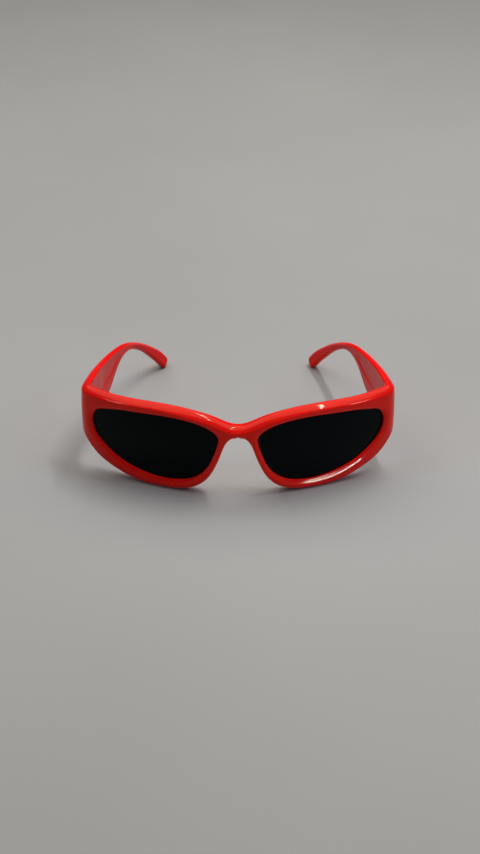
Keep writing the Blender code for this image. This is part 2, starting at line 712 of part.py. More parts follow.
def build_side(word, side, front, finishes):
    """Everything that comes once on each side."""
    origin = hinge_origin("hinge_axis_" + word, side)
    upper = (MIDDLE_KNUCKLE + GAP, LEAF_HEIGHT / 2.0)
    lower = (-LEAF_HEIGHT / 2.0, -MIDDLE_KNUCKLE - GAP)
    middle = (-MIDDLE_KNUCKLE, MIDDLE_KNUCKLE)

    add_object("lens_" + word, on_side(lens_bmesh(), side), finishes["lens"])
    temple = add_object("temple_" + word, on_side(temple_bmesh(), side), finishes["shell"], origin)
    add_pocket(front, "frame_pocket_" + word, side, FRAME_LEAF, -1.0, FRAME_SCREWS)
    add_pocket(temple, "temple_pocket_" + word, side, TEMPLE_LEAF, 1.0, TEMPLE_SCREWS)
    add_leaf("frame_hinge_leaf_" + word, side, None, finishes["metal"],
             FRAME_LEAF, -1.0, (lower, upper), FRAME_SCREWS)
    add_leaf("temple_hinge_leaf_" + word, side, origin, finishes["metal"],
             TEMPLE_LEAF, 1.0, (middle,), TEMPLE_SCREWS)
    add_object("hinge_screw_" + word, in_hinge(hinge_screw_bmesh(), side), finishes["metal"])
    for (back, up), place in zip(FRAME_SCREWS, ("upper", "lower")):
        add_object(f"frame_leaf_screw_{word}_{place}",
                   in_hinge(leaf_screw_bmesh(back, up), side), finishes["metal"])
    for (back, up), place in zip(TEMPLE_SCREWS, ("front", "rear")):
        add_object(f"temple_leaf_screw_{word}_{place}",
                   in_hinge(leaf_screw_bmesh(back, up), side), finishes["metal"], origin)
    add_object("badge_" + word, on_side(badge_bmesh(), side), finishes["badge"], origin)


def main():
    for obj in list(bpy.data.objects):
        bpy.data.objects.remove(obj, do_unlink=True)
    finishes = {
        "shell": material("red_shell", RED, 0.08, coat=1.0),
        "lens": material("smoke_lens", SMOKE, 0.04),
        "metal": material("hinge_steel", STEEL, 0.3, metallic=1.0),
        "badge": material("dark_badge", DARK, 0.25, metallic=1.0),
    }
    front = add_object("front_frame", front_bmesh(), finishes["shell"])
    for word, side in (("left", 1.0), ("right", -1.0)):
        build_side(word, side, front, finishes)


main()
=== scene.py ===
"""Looks of the wraparound sport sunglasses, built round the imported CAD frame.

The frame is in metres, +Z up, with the front facing -Y, and left is the wearer's left, +X.
The moulded pieces are drawn again here on the CAD part's own wrapped sheet, with many more
stations and true roundovers.  A place on the sheet is (along, height, depth) in millimetres:
along runs round the plan curve from the nose bridge to a temple tip, height is above the
floor, and depth goes in from the outer face towards the wearer.
"""

from math import cos, pi, radians, sin, tan

import bmesh
import bpy
import numpy as np
from mathutils import Matrix, Vector


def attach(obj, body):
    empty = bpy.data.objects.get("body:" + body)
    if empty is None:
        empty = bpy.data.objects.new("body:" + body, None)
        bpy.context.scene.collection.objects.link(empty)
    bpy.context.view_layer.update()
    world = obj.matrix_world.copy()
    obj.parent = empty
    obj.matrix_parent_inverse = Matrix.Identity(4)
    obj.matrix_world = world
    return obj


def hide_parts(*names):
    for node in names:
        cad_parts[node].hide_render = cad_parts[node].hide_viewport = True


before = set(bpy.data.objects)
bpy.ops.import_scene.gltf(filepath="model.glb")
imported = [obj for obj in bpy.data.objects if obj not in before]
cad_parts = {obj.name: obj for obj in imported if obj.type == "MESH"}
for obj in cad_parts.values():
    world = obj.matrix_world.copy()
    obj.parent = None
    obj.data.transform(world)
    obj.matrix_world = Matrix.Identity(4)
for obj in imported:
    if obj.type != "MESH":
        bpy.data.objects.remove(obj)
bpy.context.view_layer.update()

MM = 0.001

# --- the sheet, as in the CAD part, mm -------------------------------------------------
WRAP_RADIUS = 120.0
CORNER_START = 73.2
CORNER_LENGTH = 14.0
REAR_HEADING = 101.5
REAR_TURN = 0.16
CROWN_HEIGHT = 24.0
UPPER_CROWN = 220.0
LOWER_CROWN = 110.0
HALF_LENGTH = 60.38

GAP = 0.3
SEAM = 87.0
BACK_ROUND = 1.0
# width, depth and shoulder of the dip round a lens opening, at the brow and along the bottom
DISH = np.array((2.2, 1.2, 1.5))
LOW_DISH = np.array((2.8, 1.6, 1.1))
BACK_LIP = 0.3
LIP = 1.9
LENS_THICKNESS = 1.6
LENS_BEVEL = 0.25
LENS_BEVEL_SHARE = 0.992   # of the way from a lens's middle to its edge
GROOVE_DEPTH = 1.2
TOP_SHOULDER = 1.5
LOW_SHOULDER = 2.0
END_ROUND = 0.22           # edge radius of the two faces that meet at the seam

# One row for each place round the left rim, starting under the bridge and going down the
# nose side, out along the bottom and back in along the brow:
# lens opening (along, height), outer edge (along, height), front-to-back thickness,
# width of the front roundover and depth of the front roundover.
RIM = (
    (9.1, 30.8, 0.0, 32.8, 6.4, 2.3, 2.0),
    (9.4, 29.1, 3.7, 31.6, 6.8, 2.0, 1.9),
    (10.1, 26.4, 6.5, 27.4, 7.6, 1.7, 1.7),
    (11.7, 21.6, 8.5, 21.6, 8.0, 1.5, 1.6),
    (14.0, 16.2, 10.8, 15.6, 7.6, 1.5, 1.6),
    (17.6, 11.4, 14.6, 8.5, 6.6, 1.7, 1.7),
    (22.3, 8.0, 20.0, 3.5, 5.8, 1.8, 1.8),
    (28.0, 6.2, 27.0, 0.9, 5.4, 1.8, 1.8),
    (35.0, 5.6, 35.5, 0.0, 5.2, 1.8, 1.8),
    (43.0, 6.3, 46.0, 0.0, 5.1, 1.8, 1.8),
    (51.0, 8.2, 55.5, 2.0, 5.0, 1.8, 1.8),
    (59.0, 11.5, 64.5, 5.4, 4.9, 1.9, 1.9),
    (66.2, 16.4, 72.4, 10.1, 4.8, 2.0, 2.0),
    (71.4, 21.8, 78.0, 16.0, 4.7, 2.0, 2.0),
    (73.4, 26.8, SEAM, 21.5, 4.7, 2.0, 2.0),
    (73.0, 31.6, SEAM, 33.1, 4.7, 2.0, 2.0),
    (70.4, 35.4, SEAM, 44.4, 4.7, 2.4, 3.2),
    (65.0, 37.5, 74.0, 44.6, 4.6, 2.6, 3.2),
    (57.0, 39.3, 61.5, 44.8, 4.6, 2.3, 3.3),
    (48.0, 40.3, 49.5, 45.4, 4.8, 1.8, 3.5),
    (39.0, 41.0, 38.5, 45.7, 5.1, 1.8, 3.7),
    (30.0, 40.9, 28.0, 45.1, 5.4, 2.0, 3.8),
    (22.0, 39.8, 18.5, 43.5, 5.6, 2.3, 3.6),
    (15.0, 37.5, 10.5, 41.0, 5.9, 2.4, 3.4),
    (10.9, 34.8, 4.5, 38.4, 6.2, 2.4, 3.2),
    (9.4, 32.8, 0.0, 37.5, 6.4, 2.4, 3.2),
)
SEAM_BOTTOM = 14
SEAM_TOP = 16
BRIDGE_TOP = 25

# A temple, as (distance behind the seam, height of its middle, blade height, thickness).
TEMPLE = (
    (0.0, 32.95, 22.9, 4.7),
    (10.0, 32.5, 22.6, 4.5),
    (19.0, 31.7, 21.6, 4.4),
    (26.0, 31.4, 19.6, 4.3),
    (32.0, 32.0, 15.9, 4.2),
    (37.0, 32.85, 11.9, 4.1),
    (43.0, 33.2, 8.2, 4.0),
    (50.0, 32.4, 5.4, 3.9),
    (58.2, 29.7, 3.8, 3.9),
    (66.3, 25.2, 3.8, 3.9),
    (74.4, 19.5, 4.5, 4.0),
    (81.4, 13.3, 5.6, 4.2),
    (87.0, 7.8, 6.4, 4.3),
    (90.6, 3.3, 6.5, 4.3),
)
TOP_ROUND = (2.4, 3.2)
LOW_ROUND = (2.0, 2.0)
ARM_START = 32.0
ARM_FADE = 22.0
ARM_ROUND = 1.6
ROUND_FADE = 40.0
PANEL_LOW_BORDER = 8.0
PANEL_TOP_BORDER = 1.8
PANEL_SLOPE = 1.6
PANEL_DEPTH = 0.4
PANEL_START = 11.0
PANEL_END = 44.0
PANEL_FADE = 9.0

# --- mesh density ----------------------------------------------------------------------
RIM_STEPS = 10             # stations from one row to the next
SEAM_STEPS = 34            # down the seam
NOSE_STEPS = 22            # down the middle of the bridge
TEMPLE_STEPS = 12
TIP_STEPS = 14
ROUND_STEPS = 10           # across a front roundover
BACK_STEPS = 6
DISH_STEPS = 9
FLAT_STEPS = 16            # across a flat face
LENS_RINGS = 16

# --- the hinges, as in the CAD part ----------------------------------------------------
HINGE_HEIGHT = 28.5
HINGE_INSET = 1.5
KNUCKLE_RADIUS = 1.6
BORE_RADIUS = 1.0
LEAF_HEIGHT = 8.4
LEAF_THICKNESS = 1.0
LEAF_PROUD = 0.3
LEAF_EDGE = 0.14           # bevel of a leaf's edges
MIDDLE_KNUCKLE = 1.3
FRAME_LEAF = 5.8
TEMPLE_LEAF = 8.8
LEAF_END = 1.9
TAB_OVERLAP = 0.4
TAB_EASE = 0.05
POCKET_CLEARANCE = 0.4
POCKET_START = 1.0
POCKET_REACH = 9.0
HEAD_ROOM = 2.0
SCREW_SIDES = 48
HINGE_SHANK = 0.7
HINGE_HEAD = (1.4, 0.8)    # radius and height
LEAF_SHANK = 0.5
LEAF_HOLE = 0.8
LEAF_HEAD = (1.1, 0.5)
LEAF_SCREW_DEPTH = 2.3
HEAD_RIM = 0.45            # share of a head's height that is below its dome
HEAD_FLAT = 0.25           # share of a head's radius that is flat on top
DOME_STEPS = 7
SLOT_WIDTH = 0.32
SLOT_DEPTH = 0.28
# (distance back, height) from the hinge's middle
FRAME_SCREWS = ((-3.9, 2.4), (-3.9, -2.4))
TEMPLE_SCREWS = ((4.2, 0.0), (7.0, 0.0))
# the angle each screw's slot stands at, degrees
FRAME_SLOTS = (("upper", 25.0), ("lower", -50.0))
TEMPLE_SLOTS = (("front", 70.0), ("rear", 10.0))

BADGE_CENTRE = (98.0, 30.0)
BADGE_SIZE = (5.0, 1.9)
BADGE_BED = 0.05           # badge's back face above the temple
BADGE_EDGE = 0.45          # height of its rim
BADGE_DOME = 0.25          # and of its middle above that
BADGE_SIDES = 72

SHARP_ANGLE = 38.0


# --- the wrapped sheet -----------------------------------------------------------------
def smooth_step(x):
    x = np.clip(x, 0.0, 1.0)
    return x * x * (3.0 - 2.0 * x)


def plan_heading(along):
    """Direction of the plan curve, in radians from +X."""
    wrap = along / WRAP_RADIUS
    rear = np.radians(REAR_HEADING + REAR_TURN * (along - CORNER_START - CORNER_LENGTH))
    turned = smooth_step((along - CORNER_START) / CORNER_LENGTH)
    return wrap * (1.0 - turned) + rear * turned


PLAN_STEP = 0.05
PLAN_ALONG = np.arange(0.0, 200.0, PLAN_STEP)
PLAN_MIDDLE = plan_heading(PLAN_ALONG[:-1] + PLAN_STEP / 2)
PLAN_X = np.concatenate([[0.0], np.cumsum(np.cos(PLAN_MIDDLE)) * PLAN_STEP])
PLAN_Y = np.concatenate([[0.0], np.cumsum(np.sin(PLAN_MIDDLE)) * PLAN_STEP])


def on_sheet(along, height, depth):
    """World place, in metres, of a point of the left half's sheet."""
    crown = UPPER_CROWN if height > CROWN_HEIGHT else LOWER_CROWN
    inward = depth + (height - CROWN_HEIGHT) ** 2 / (2.0 * crown)
    heading = plan_heading(along)
    x = np.interp(along, PLAN_ALONG, PLAN_X) - inward * sin(heading)
    y = np.interp(along, PLAN_ALONG, PLAN_Y) + inward * cos(heading) - HALF_LENGTH
    return Vector((x * MM, y * MM, height * MM))


def spline(rows, closed=False):
    """Smooth cubic curve through the rows, spaced by their first two columns.

    Returns a function of the row number, which may be fractional."""
    rows = np.array(rows, float)
    if closed:
        rows = np.vstack([rows, rows[:1]])
    span = np.linalg.norm(np.diff(rows[:, :2], axis=0), axis=1)
    slope = np.diff(rows, axis=0) / span[:, None]
    last = len(rows) - 1
    system = np.eye(last + 1)
    wanted = np.zeros_like(rows)
    for i in range(1, last):
        system[i, i - 1:i + 2] = span[i - 1], 2.0 * (span[i - 1] + span[i]), span[i]
        wanted[i] = 6.0 * (slope[i] - slope[i - 1])
    if closed:
        system[0, last] = -1.0
        system[last, :2] = 2.0 * span[0], span[0]
        system[last, last - 1:] = span[-1], 2.0 * span[-1]
        wanted[last] = 6.0 * (slope[0] - slope[-1])
    bend = np.linalg.solve(system, wanted)

    def at(number):
        i = min(max(int(number), 0), last - 1)
        t = (number - i) * span[i]
        rest = span[i] - t
        curve = (bend[i] * rest ** 3 + bend[i + 1] * t ** 3) / (6.0 * span[i])
        start = rows[i] / span[i] - bend[i] * span[i] / 6.0
        end = rows[i + 1] / span[i] - bend[i + 1] * span[i] / 6.0
        return curve + start * rest + end * t

    return at


def roundover(distance, width, depth, shoulder=2.0):
    """Depth of a rounded edge, at a distance in from it."""
    rest = 1.0 - min(distance / width, 1.0)
    return depth * (1.0 - (1.0 - rest ** shoulder) ** (1.0 / shoulder))


def round_shares(steps, shoulder=2.0):
    """Shares of a roundover's width, from its edge inwards, evenly spread round the bend."""
    return [1.0 - sin(0.5 * pi * (1.0 - i / steps)) ** (2.0 / shoulder) for i in range(steps + 1)]


def between(steps):
    """Evenly spread shares, without the two ends."""
    return [i / steps for i in range(1, steps)]


def eased(steps):
    """Shares from 0 to 1 that are closer together near both ends, without the ends."""
    return [0.5 - 0.5 * cos(pi * i / steps) for i in range(1, steps)]


# --- meshes and objects ----------------------------------------------------------------
def add_mesh(name, bm, finish=None):
    bmesh.ops.recalc_face_normals(bm, faces=bm.faces)
    mesh = bpy.data.meshes.new(name)
    bm.to_mesh(mesh)
    bm.free()
    if finish is not None:
        mesh.materials.append(finish)
    obj = bpy.data.objects.new(name, mesh)
    bpy.context.scene.collection.objects.link(obj)
    return obj


def settle(obj):
    """Apply the modifiers and shade the result."""
    graph = bpy.context.evaluated_depsgraph_get()
    mesh = bpy.data.meshes.new_from_object(obj.evaluated_get(graph), depsgraph=graph)
    old = obj.data
    obj.modifiers.clear()
    obj.data = mesh
    bpy.data.meshes.remove(old)
    mesh.name = obj.name
    mesh.shade_smooth()
    mesh.set_sharp_from_angle(angle=radians(SHARP_ANGLE))
    return obj


def combine(obj, tools, operation):
    """Join the tool meshes to an object, or cut them out of it."""
    helpers = []
    for number, bm in enumerate(tools):
        helper = add_mesh(f"{obj.name}_tool_{number}", bm)
        step = obj.modifiers.new(helper.name, "BOOLEAN")
        step.operation = operation
        step.solver = "EXACT"
        step.object = helper
        helpers.append(helper)
    bpy.context.view_layer.update()
    settle(obj)
    for helper in helpers:
        mesh = helper.data
        bpy.data.objects.remove(helper)
        bpy.data.meshes.remove(mesh)
    return obj


def present(obj, body, node):
    """Tell the frame what a piece rides on and what it stands for."""
    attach(obj, body)
    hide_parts(node)


def mirror_bmesh(bm):
    bmesh.ops.scale(bm, verts=bm.verts, vec=(-1.0, 1.0, 1.0))
    bmesh.ops.reverse_faces(bm, faces=bm.faces)


def on_side(bm, side):
    if side < 0:
        mirror_bmesh(bm)
    return bm


def skin(bm, rings, close_rings, close_sections, skip=None):
    """Quads between neighbouring sections, each a list of vertices of the same length."""
    count = len(rings)
    points = len(rings[0])
    for i in range(count if close_rings else count - 1):
        after = (i + 1) % count
        for j in range(points if close_sections else points - 1):
            if skip is not None and skip(i, j):
                continue
            k = (j + 1) % points
            bm.faces.new((rings[i][j], rings[i][k], rings[after][k], rings[after][j]))


def fan(bm, ring, place):
    """Close a ring with triangles that meet at a place."""
    middle = bm.verts.new(place)
    for i, vertex in enumerate(ring):
        bm.faces.new((vertex, ring[(i + 1) % len(ring)], middle))


# --- the front -------------------------------------------------------------------------
HOLE = spline([row[:2] for row in RIM], closed=True)
OUTER_ROWS = [row[2:] for row in RIM]


def across_nose(row):
    return (-row[0],) + tuple(row[1:])


LOWER_EDGE = spline([across_nose(OUTER_ROWS[1])] + OUTER_ROWS[:SEAM_BOTTOM + 1])
UPPER_EDGE = spline(OUTER_ROWS[SEAM_TOP:] + [across_nose(OUTER_ROWS[BRIDGE_TOP - 1])])


def outer_edge(number):
    """(along, height, thickness, roundover width and depth) of the outer edge."""
    if number <= SEAM_BOTTOM:
        edge = LOWER_EDGE(number + 1.0)
        edge[1] = max(edge[1], 0.0)
        return edge
    if number < SEAM_TOP:
        share = (number - SEAM_BOTTOM) / (SEAM_TOP - SEAM_BOTTOM)
        return (1.0 - share) * LOWER_EDGE(SEAM_BOTTOM + 1.0) + share * UPPER_EDGE(0.0)
    if number <= BRIDGE_TOP:
        return UPPER_EDGE(number - SEAM_TOP)
    share = number - BRIDGE_TOP
    return (1.0 - share) * UPPER_EDGE(BRIDGE_TOP - SEAM_TOP) + share * LOWER_EDGE(1.0)


def edge_table(first, last):
    """Closely spaced rows of the outer edge."""
    samples = 16
    return np.array([outer_edge(i / samples) for i in range(first * samples, last * samples + 1)])


def nearest_edge(table, along, height):
    """Distance to an edge, with the width and depth of its roundover there."""
    start = table[:-1]
    step = table[1:] - start
    offset = np.array((along, height)) - start[:, :2]
    length2 = (step[:, :2] ** 2).sum(axis=1)
    t = np.clip((offset * step[:, :2]).sum(axis=1) / length2, 0.0, 1.0)
    miss = np.linalg.norm(offset - t[:, None] * step[:, :2], axis=1)
    i = int(miss.argmin())
    place = start[i] + t[i] * step[i]
    return float(miss[i]), place[3], place[4]


def seam_round(along):
    """The small edge round where the front meets a temple."""
    return roundover(max(SEAM - along, 0.0), END_ROUND, END_ROUND)


def front_depth(edges, along, height):
    """How far the front face lies behind the sheet at its rounded edges."""
    lower, upper = edges
    return (roundover(*nearest_edge(lower, along, height), LOW_SHOULDER)
            + roundover(*nearest_edge(upper, along, height), TOP_SHOULDER)
            + seam_round(along))


def back_rise(edges, along, height):
    """How far the back face is rounded forwards at the same edges."""
    distance = min(nearest_edge(table, along, height)[0] for table in edges)
    return max(roundover(distance, BACK_ROUND, BACK_ROUND), seam_round(along))


def rim_numbers():
    """Row numbers of the mesh stations, closer together at the corners of the outer edge."""
    numbers = [i / RIM_STEPS for i in range(SEAM_BOTTOM * RIM_STEPS + 1)]
    numbers += [SEAM_BOTTOM + (SEAM_TOP - SEAM_BOTTOM) * share for share in eased(SEAM_STEPS)]
    numbers += [i / RIM_STEPS for i in range(SEAM_TOP * RIM_STEPS, BRIDGE_TOP * RIM_STEPS + 1)]
    numbers += [BRIDGE_TOP + share for share in eased(NOSE_STEPS)]
    return numbers


def hole_place(number, outward):
    """A place at a distance outside the lens opening's edge."""
    step = 0.01
    ahead = HOLE((number + step) % len(RIM))
    behind = HOLE((number - step) % len(RIM))
    run = (ahead - behind) / np.linalg.norm(ahead - behind)
    return HOLE(number % len(RIM)) + outward * np.array((run[1], -run[0]))


DISH_SHARES = round_shares(DISH_STEPS, DISH[2])
LIP_SHARES = round_shares(4)
TOP_SHARES = round_shares(ROUND_STEPS, TOP_SHOULDER)
REAR_SHARES = round_shares(BACK_STEPS)


def dish_size(number):
    """Width, depth and shoulder of the dip round the lens opening."""
    low = smooth_step((number - 4.0) / 3.0) * smooth_step((14.0 - number) / 3.0)
    return DISH + low * (LOW_DISH - DISH)


def rim_section(number, edges):
    """Closed section of the rim: front face outwards, back face inwards, lens groove."""
    row = outer_edge(number)
    edge, thickness = row[:2], row[2]
    hole = HOLE(number % len(RIM))
    width = np.linalg.norm(edge - hole)
    away = (edge - hole) / width
    dish, dish_depth, shoulder = dish_size(number)
    dish = min(dish, 0.6 * width)
    round_width = min(row[3], 0.5 * width)
    back_width = min(BACK_ROUND, 0.4 * width)
    section = []

    def add(place, depth):
        section.append((place[0], place[1], depth))

    for share in DISH_SHARES:
        place = hole + share * dish * away
        add(place, front_depth(edges, *place) + roundover(share, 1.0, dish_depth, shoulder))
    for share in between(FLAT_STEPS):
        place = hole + (dish + share * (width - dish - round_width)) * away
        add(place, front_depth(edges, *place))
    for share in reversed(TOP_SHARES):
        place = edge - share * round_width * away
        add(place, front_depth(edges, *place))
    for share in REAR_SHARES:
        place = edge - share * back_width * away
        add(place, thickness - back_rise(edges, *place))
    for share in reversed(between(FLAT_STEPS)):
        place = hole + (BACK_LIP + share * (width - BACK_LIP - back_width)) * away
        add(place, thickness - back_rise(edges, *place))
    for share in reversed(LIP_SHARES):
        place = hole + share * BACK_LIP * away
        add(place, thickness - roundover(share, 1.0, BACK_LIP))
    groove_back = LIP + LENS_THICKNESS + 2.0 * GAP
    add(hole_place(number, 0.0), groove_back)
    add(hole_place(number, GROOVE_DEPTH), groove_back)
    add(hole_place(number, GROOVE_DEPTH), LIP)
    add(hole_place(number, 0.0), LIP)
    return section


# section point where the front face meets the outer wall
FRONT_EDGE_POINT = len(DISH_SHARES) + len(between(FLAT_STEPS)) + len(TOP_SHARES) - 1


def front_bmesh():
    """The left half of the front, mirrored and joined at the nose."""
    bm = bmesh.new()
    edges = (edge_table(0, SEAM_BOTTOM), edge_table(SEAM_TOP, BRIDGE_TOP))
    numbers = rim_numbers()
    rings = []
    for number in numbers:
        section = rim_section(number, edges)
        rings.append([bm.verts.new(on_sheet(*place)) for place in section])
    first_on_nose = numbers.index(BRIDGE_TOP)
    skin(bm, rings, True, True,
         skip=lambda i, j: i >= first_on_nose and j == FRONT_EDGE_POINT)
    half = bm.verts[:] + bm.edges[:] + bm.faces[:]
    copy = bmesh.ops.duplicate(bm, geom=half)["geom"]
    mirrored = [item for item in copy if isinstance(item, bmesh.types.BMVert)]
    bmesh.ops.scale(bm, verts=mirrored, vec=(-1.0, 1.0, 1.0))
    bmesh.ops.remove_doubles(bm, verts=bm.verts, dist=0.001 * MM)
    return bm


def lens_bmesh():
    """A curved lens whose bevelled edge sits in the rim's groove."""
    bm = bmesh.new()
    numbers = [i / RIM_STEPS for i in range(len(RIM) * RIM_STEPS)]
    outline = [hole_place(number, GROOVE_DEPTH - GAP) for number in numbers]
    centre = np.mean(outline, axis=0)
    front = LIP + GAP
    back = front + LENS_THICKNESS
    shares = [i / LENS_RINGS for i in range(1, LENS_RINGS)] + [LENS_BEVEL_SHARE]
    rings = []
    steps = [(share, front) for share in shares] + [(1.0, front + LENS_BEVEL)]
    steps += [(1.0, back - LENS_BEVEL)] + [(share, back) for share in reversed(shares)]
    for share, depth in steps:
        places = [centre + share * (point - centre) for point in outline]
        rings.append([bm.verts.new(on_sheet(p[0], p[1], depth)) for p in places])
    skin(bm, rings, False, True)
    fan(bm, rings[0], on_sheet(*centre, front))
    fan(bm, rings[-1], on_sheet(*centre, back))
    return bm


# --- the temples -----------------------------------------------------------------------
BLADE = spline([(row[0], row[1]) for row in TEMPLE])
BLADE_SIZE = spline([(row[0], 0.0, row[2], row[3]) for row in TEMPLE])
LOW_SHARES = round_shares(ROUND_STEPS, LOW_SHOULDER)
SLOPE_STEPS = 6


def blade_section(number, shrink=1.0, advance=0.0, inset=0.0):
    """Closed section across a temple: outer face downwards, inner face upwards."""
    behind, height = BLADE(number)
    ahead = BLADE(number + 0.01) - BLADE(number - 0.01)
    arm = smooth_step((behind - ARM_START) / ARM_FADE)
    run = arm * ahead / np.linalg.norm(ahead) + (1.0 - arm) * np.array((1.0, 0.0))
    run /= np.linalg.norm(run)
    softer = smooth_step(behind / ROUND_FADE)
    size = BLADE_SIZE(number)
    half = 0.5 * size[2] * shrink - inset
    thickness = size[3]
    outer = 0.5 * thickness * (1.0 - shrink) + inset
    inner = thickness - outer
    top_width = min(TOP_ROUND[0], 0.9 * half)
    low_width = min(LOW_ROUND[0], 0.9 * half)
    top_depth = min(TOP_ROUND[1], (0.7 - 0.2 * softer) * thickness) * shrink
    low_depth = min(LOW_ROUND[1], 0.5 * thickness) * shrink
    back_round = BACK_ROUND + softer * (ARM_ROUND - BACK_ROUND)
    back_width = min(back_round, 0.85 * half)
    panel = PANEL_DEPTH * smooth_step((behind - PANEL_START) / PANEL_FADE)
    panel *= smooth_step((PANEL_END - behind) / PANEL_FADE)
    centre = np.array((behind, height)) + advance * run
    up = np.array((-run[1], run[0]))
    section = []

    def add(place, depth):
        along, level = centre + place * up
        section.append((SEAM + GAP + along, level, depth))

    for share in TOP_SHARES:
        add(half - share * top_width, outer + roundover(share, 1.0, top_depth, TOP_SHOULDER))
    for share in between(FLAT_STEPS):
        add(half - top_width - share * (2.0 * half - top_width - low_width), outer)
    for share in reversed(LOW_SHARES):
        add(share * low_width - half, outer + roundover(share, 1.0, low_depth, LOW_SHOULDER))

    def back_half(border):
        """(distance in from the edge, rise of the inner face) up to the panel."""
        border, flat = min(border, 0.7 * half), min(border + PANEL_SLOPE, 0.9 * half)
        places = [(share * back_width, roundover(share, 1.0, back_round * shrink))
                  for share in REAR_SHARES]
        for share in between(SLOPE_STEPS + 1) + [1.0]:
            places.append((back_width + share * (border - back_width), 0.0))
        for share in between(SLOPE_STEPS + 1) + [1.0]:
            places.append((border + share * (flat - border), panel * smooth_step(share)))
        return places

    low, top = back_half(PANEL_LOW_BORDER), back_half(PANEL_TOP_BORDER)
    for distance, lift in low:
        add(distance - half, inner - lift)
    panel_low, panel_top = low[-1][0] - half, half - top[-1][0]
    for share in between(2 * FLAT_STEPS):
        add(panel_low + share * (panel_top - panel_low), inner - panel)
    for distance, lift in reversed(top):
        add(half - distance, inner - lift)
    return section


def temple_bmesh():
    """A blade that tapers to a thin arm, bends down and ends in a rounded tip."""
    bm = bmesh.new()
    last = len(TEMPLE) - 1
    first_span = TEMPLE[1][0]
    sections = []
    for share in round_shares(4):
        number = share * END_ROUND / first_span
        sections.append(blade_section(number, inset=roundover(share, 1.0, END_ROUND)))
    sections += [blade_section(i / TEMPLE_STEPS) for i in range(1, last * TEMPLE_STEPS + 1)]
    tip = 0.5 * TEMPLE[-1][2]
    for i in range(1, TIP_STEPS):
        turn = 0.5 * pi * i / TIP_STEPS
        sections.append(blade_section(last, cos(turn), tip * sin(turn)))
    rings = [[bm.verts.new(on_sheet(*place)) for place in section] for section in sections]
    skin(bm, rings, False, True)
    bm.faces.new(rings[0])
    fan(bm, rings[-1], sum((vertex.co for vertex in rings[-1]), Vector()) / len(rings[-1]))
    return bm


def badge_bmesh():
    """A domed oval plate that follows the temple's outer face."""
    bm = bmesh.new()
    levels = [(1.0, 0.0), (1.0, 0.75 * BADGE_EDGE), (0.97, BADGE_EDGE)]
    levels += [(0.9 - 0.1 * i, BADGE_EDGE + BADGE_DOME * (1.0 - (0.9 - 0.1 * i) ** 2))
               for i in range(9)]
    rings = []
    for scale, lift in levels:
        ring = []
        for i in range(BADGE_SIDES):
            angle = 2.0 * pi * i / BADGE_SIDES
            along = BADGE_CENTRE[0] + scale * BADGE_SIZE[0] * cos(angle)
            height = BADGE_CENTRE[1] + scale * BADGE_SIZE[1] * sin(angle)
            ring.append(bm.verts.new(on_sheet(along, height, -BADGE_BED - lift)))
        rings.append(ring)
    skin(bm, rings, False, True)
    fan(bm, rings[0], on_sheet(*BADGE_CENTRE, -BADGE_BED))
    fan(bm, rings[-1], on_sheet(*BADGE_CENTRE, -BADGE_BED - BADGE_EDGE - BADGE_DOME))
    return bm


# --- the hinges ------------------------------------------------------------------------
def hinge_frame():
    """Left hinge axes: x goes inwards from the inner face, y goes back, z goes up."""
    heading = plan_heading(SEAM)
    inward = Vector((-sin(heading), cos(heading), 0.0))
    back = Vector((cos(heading), sin(heading), 0.0))
    origin = on_sheet(SEAM + 0.5 * GAP, HINGE_HEIGHT, TEMPLE[0][3])
    axes = Matrix((inward, back, Vector((0.0, 0.0, 1.0)))).transposed().to_4x4()
    axes.translation = origin
    return axes


def box_bmesh(low, high):
    bm = bmesh.new()
    size = Vector(high) - Vector(low)
    middle = (Vector(high) + Vector(low)) / 2.0
    bmesh.ops.create_cube(bm, size=1.0)
    bmesh.ops.scale(bm, verts=bm.verts, vec=size * MM)
    bmesh.ops.translate(bm, verts=bm.verts, vec=middle * MM)
    return bm


def cylinder_bmesh(radius, start, end, axis):
    """A cylinder from start to end, in mm, along the hinge frame's x or z axis."""
    bm = bmesh.new()
    start, end = Vector(start), Vector(end)
    bmesh.ops.create_cone(bm, cap_ends=True, segments=SCREW_SIDES, radius1=radius * MM,
                          radius2=radius * MM, depth=(end - start).length * MM)
    if axis == "x":
        bmesh.ops.rotate(bm, verts=bm.verts, matrix=Matrix.Rotation(pi / 2.0, 3, "Y"))
    bmesh.ops.translate(bm, verts=bm.verts, vec=(start + end) / 2.0 * MM)
    return bm


def in_hinge(bm, side):
    """Put a hinge piece made in the hinge's own axes at its place on one side."""
    bmesh.ops.transform(bm, verts=bm.verts, matrix=hinge_frame())
    return on_side(bm, side)


